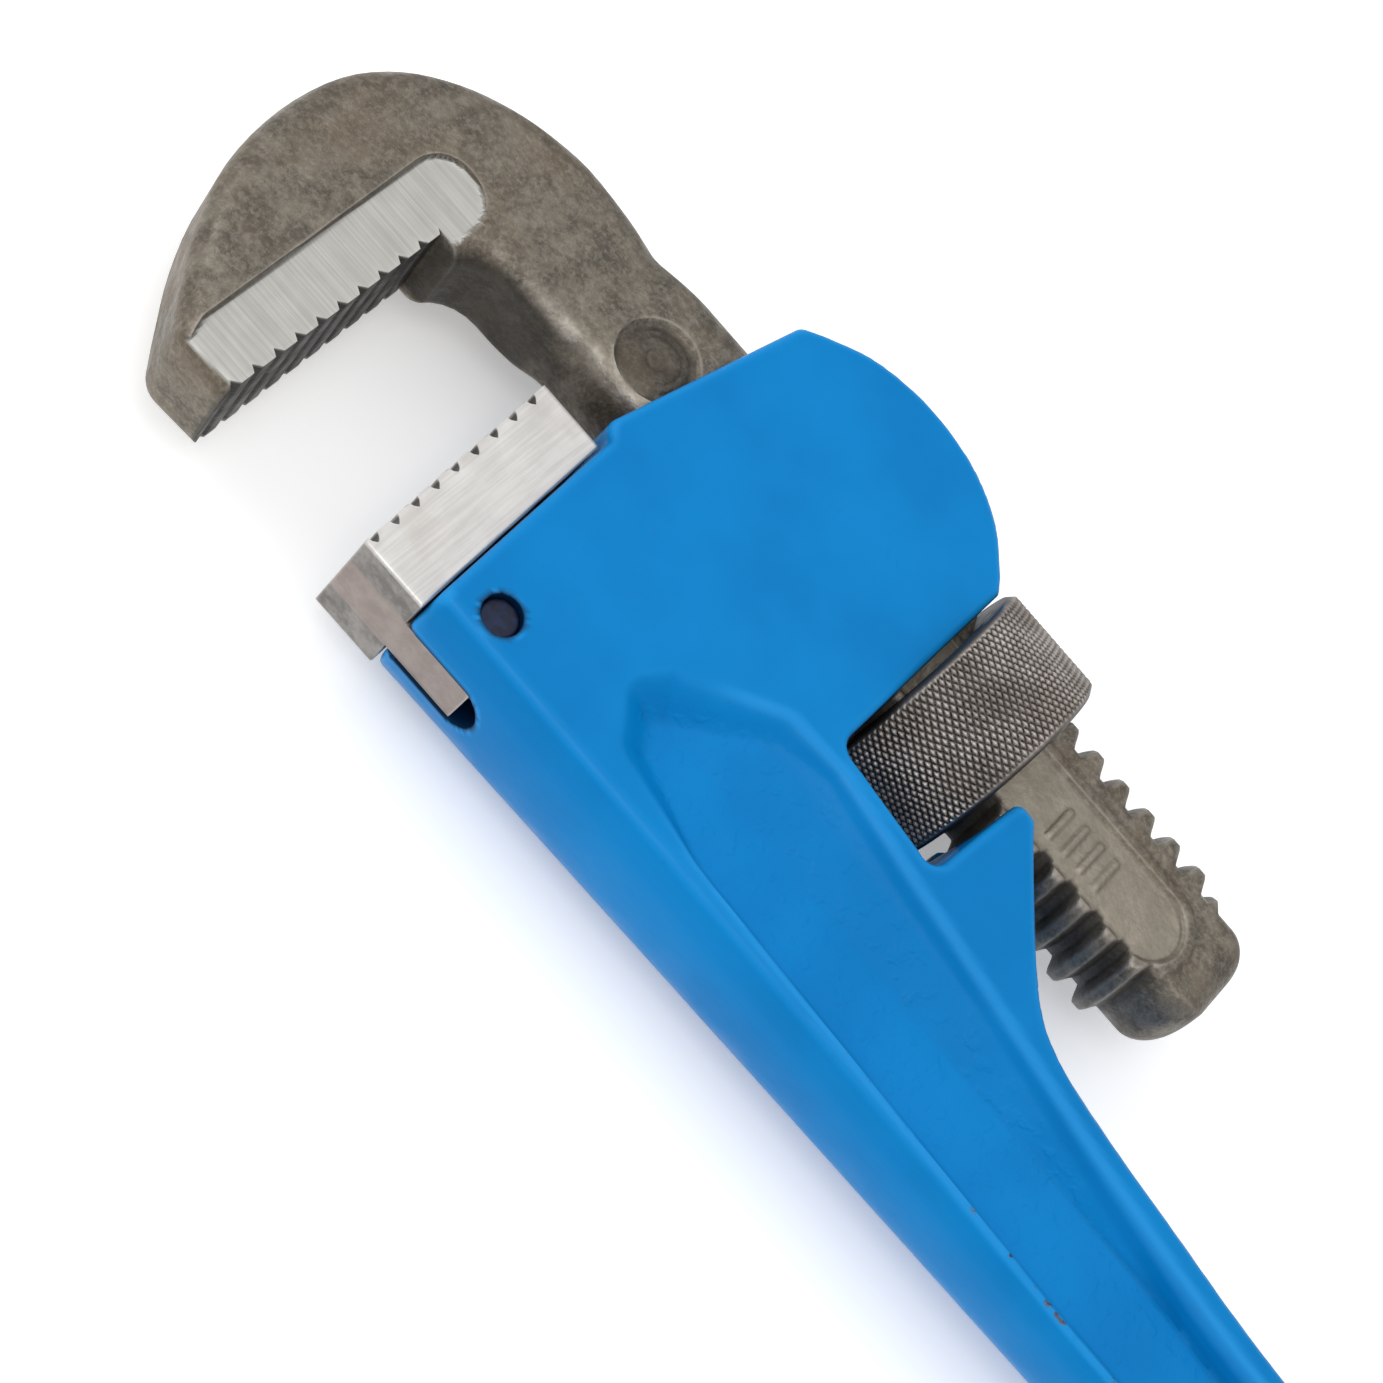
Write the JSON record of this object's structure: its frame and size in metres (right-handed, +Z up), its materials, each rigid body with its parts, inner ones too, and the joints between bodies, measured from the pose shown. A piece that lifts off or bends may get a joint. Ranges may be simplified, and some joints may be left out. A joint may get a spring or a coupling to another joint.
{
  "type": "adjustable pipe wrench",
  "caption": "Adjustable pipe wrench: hooked jaw on a threaded shank, knurled nut, toothed heel jaw pinned in a cast handle with a hanging hole.",
  "frame": {"origin": "centre of the bounding box in plan, at its lowest level: the surface that the wrench lies on", "axes": "+X along the shank from the hook jaw towards the handle's end, +Y from the jaws' open side towards the nut, +Z up out of the wrench's side as it lies flat"},
  "size_m": [0.2434, 0.0704, 0.0316],
  "materials": {
    "handle_enamel": "bright blue enamel on cast iron, satin gloss, slight orange peel, worn on the edges",
    "forged_jaw_steel": "forged and heat treated steel, mottled grey brown, milled bright beside the teeth",
    "nut_steel": "oiled dark steel with a diamond knurl",
    "ground_jaw_steel": "ground bright steel with fine tool marks",
    "pin_steel": "drawn steel pin, dark and slightly recessed",
    "spring_steel": "blued spring strip",
    "spring_wire": "drawn spring wire",
    "rivet_steel": "plain rivet steel"
  },
  "bodies": {
    "handle_assembly": {"handle": "handle_enamel", "heel_jaw": "ground_jaw_steel", "heel_jaw_pin": "pin_steel", "coil_spring": "spring_wire"},
    "spring_leaf": {"leaf_spring": "spring_steel", "spring_rivet": "rivet_steel"},
    "nut": {"adjusting_nut": "nut_steel"},
    "jaw": {"hook_jaw": "forged_jaw_steel"}
  },
  "joints": [
    {"name": "jaw_rock", "type": "hinge", "parent": "handle_assembly", "child": "spring_leaf", "pos_m": [-0.01692, 0.01453, 0.0158], "axis": [0, 0, 1], "range_deg": [-0.7, 3], "stiffness_Nm_per_rad": 2, "deforming": ["coil_spring"]},
    {"name": "nut_spin", "type": "hinge", "parent": "spring_leaf", "child": "nut", "pos_m": [-0.01692, 0.01453, 0.0158], "axis": [1, 0, 0], "range_deg": [-1448, 2114]},
    {"name": "jaw_slide", "type": "slide", "parent": "spring_leaf", "child": "jaw", "axis": [1, 0, 0], "range_m": [-0.027, 0.0185]}
  ],
  "couplings": [
    {"joint": "nut_spin", "follows": "jaw_slide", "rad_per_m": -1365.9}
  ]
}
